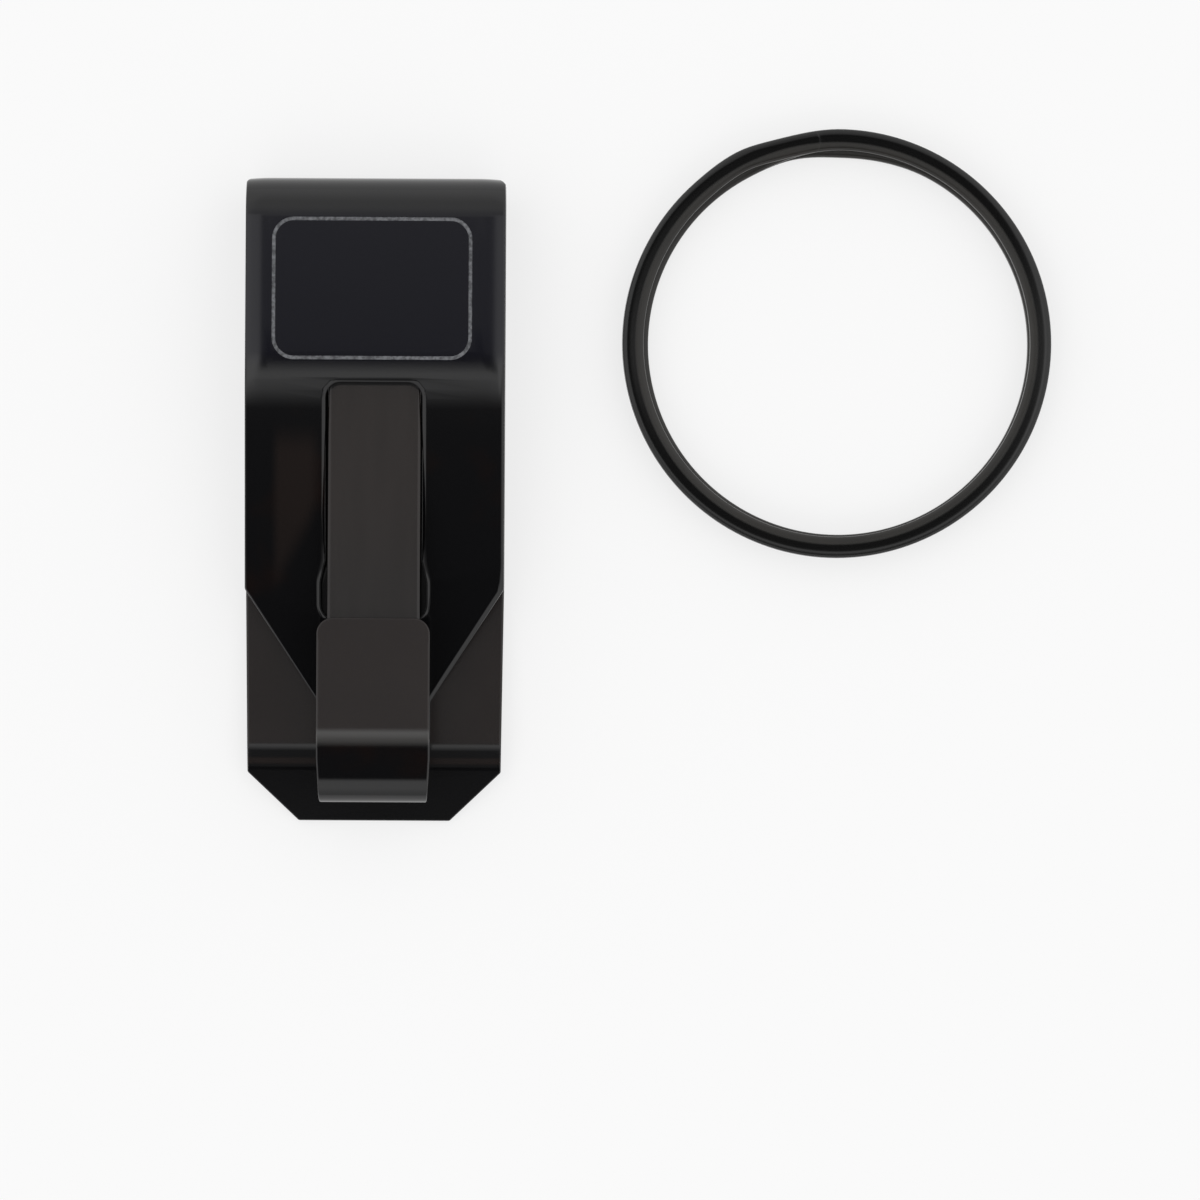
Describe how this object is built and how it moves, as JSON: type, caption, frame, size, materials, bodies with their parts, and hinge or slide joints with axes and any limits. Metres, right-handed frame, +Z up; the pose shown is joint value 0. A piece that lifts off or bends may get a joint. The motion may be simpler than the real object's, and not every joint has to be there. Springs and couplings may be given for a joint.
{
  "type": "belt key clip",
  "caption": "Slip-on spring-steel belt clip with an upturned hook closed by a leaf spring, and the split key ring that hangs in the hook.",
  "frame": {"origin": "Centre of the set's footprint on the surface it lies on: clip on the left, ring on the right.", "axes": "+Z up, from the belt side of the clip to its name panel; +Y from the hook's foot to the top bend; +X from the clip to the ring."},
  "size_m": [0.0884, 0.0761, 0.0108],
  "materials": {
    "strip_steel": "semi-gloss black finish on spring steel",
    "leaf_steel": "satin black finish on spring steel",
    "ring_steel": "black plated spring wire"
  },
  "bodies": {
    "back": {"back_plate": "strip_steel"},
    "front": {"front_plate": "strip_steel"},
    "leaf": {"leaf_spring": "leaf_steel"},
    "ring": {"split_ring": "ring_steel"}
  },
  "joints": [
    {"name": "jaw_flex", "type": "hinge", "parent": "back", "child": "front", "pos_m": [-0.03, 0.03241, 0.00436], "axis": [-1, 0, 0], "range_deg": [0, 6], "stiffness_Nm_per_rad": 1},
    {"name": "leaf_flex", "type": "hinge", "parent": "front", "child": "leaf", "pos_m": [-0.03, 0.01412, 0.00834], "axis": [1, 0, 0], "range_deg": [0, 5.4], "stiffness_Nm_per_rad": 0.1, "springref_deg": -1.72},
    {"name": "ring_lift", "type": "slide", "parent": "back", "child": "ring", "axis": [0, 0, 1], "range_m": [0, 0.03]}
  ]
}
